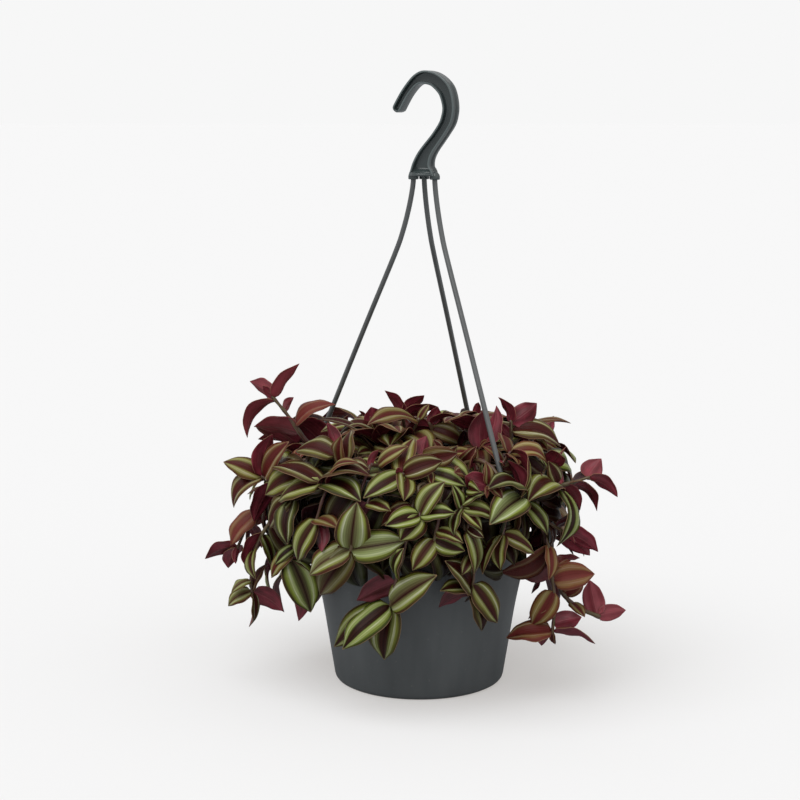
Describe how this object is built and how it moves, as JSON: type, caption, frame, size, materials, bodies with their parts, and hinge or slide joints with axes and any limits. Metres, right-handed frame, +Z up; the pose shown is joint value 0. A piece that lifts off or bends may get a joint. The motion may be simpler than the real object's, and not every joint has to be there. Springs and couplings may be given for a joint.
{
  "type": "potted tradescantia",
  "caption": "Trailing zebra-striped tradescantia spilling over a round plastic pot with a rigid three-legged hanger and an open hook.",
  "frame": {"origin": "centre of the pot's underside, on the surface it stands on", "axes": "+Z up along the pot's axis, -Y towards the side that the picture shows, +X to its right"},
  "size_m": [0.2786, 0.2375, 0.405],
  "materials": {
    "pot_plastic": "satin charcoal, faint grain",
    "hanger_plastic": "satin dark grey",
    "soil": "matte, rough damp potting compost",
    "foliage": "satin, green with silver stripes above, burgundy below"
  },
  "bodies": {
    "root": {"pot": "pot_plastic", "hook": "hanger_plastic", "leg_left": "hanger_plastic", "leg_back": "hanger_plastic", "leg_right": "hanger_plastic", "soil": "soil", "leafy_stem_behind_right": "foliage", "leafy_stem_centre_rosette": "foliage", "leafy_stem_centre_top": "foliage", "leafy_stem_crown_1": "foliage", "leafy_stem_crown_10": "foliage", "leafy_stem_crown_2": "foliage", "leafy_stem_crown_3": "foliage", "leafy_stem_crown_4": "foliage", "leafy_stem_crown_5": "foliage", "leafy_stem_crown_6": "foliage", "leafy_stem_crown_8": "foliage", "leafy_stem_crown_9": "foliage", "leafy_stem_front_bottom": "foliage", "leafy_stem_front_left": "foliage", "leafy_stem_front_low_right": "foliage", "leafy_stem_front_lower_middle": "foliage", "leafy_stem_front_middle": "foliage", "leafy_stem_front_right_rosette": "foliage", "leafy_stem_hanging_a": "foliage", "leafy_stem_hanging_b": "foliage", "leafy_stem_left_big": "foliage", "leafy_stem_left_cluster": "foliage", "leafy_stem_left_green": "foliage", "leafy_stem_left_hanging": "foliage", "leafy_stem_left_long": "foliage", "leafy_stem_left_pink": "foliage", "leafy_stem_left_rosette": "foliage", "leafy_stem_leg_foot": "foliage", "leafy_stem_lower_right": "foliage", "leafy_stem_lower_right_arm": "foliage", "leafy_stem_node_below": "foliage", "leafy_stem_red_round": "foliage", "leafy_stem_right_big": "foliage", "leafy_stem_right_low": "foliage", "leafy_stem_right_silver": "foliage", "leafy_stem_right_spray": "foliage", "leafy_stem_right_top": "foliage", "leafy_stem_round_green": "foliage", "leafy_stem_top_burgundy": "foliage", "leafy_stem_top_left": "foliage", "leafy_stem_top_mauve": "foliage", "leafy_stem_top_middle": "foliage", "leafy_stem_trailing_1": "foliage", "leafy_stem_trailing_2": "foliage", "leafy_stem_trailing_3": "foliage", "leafy_stem_trailing_4": "foliage", "leafy_stem_trailing_5": "foliage", "leafy_stem_trailing_6": "foliage", "leafy_stem_trailing_7": "foliage", "leafy_stem_trailing_8": "foliage", "leafy_stem_trailing_9": "foliage", "leafy_stem_upper_left": "foliage", "leafy_stem_upper_right": "foliage"}
  },
  "joints": []
}
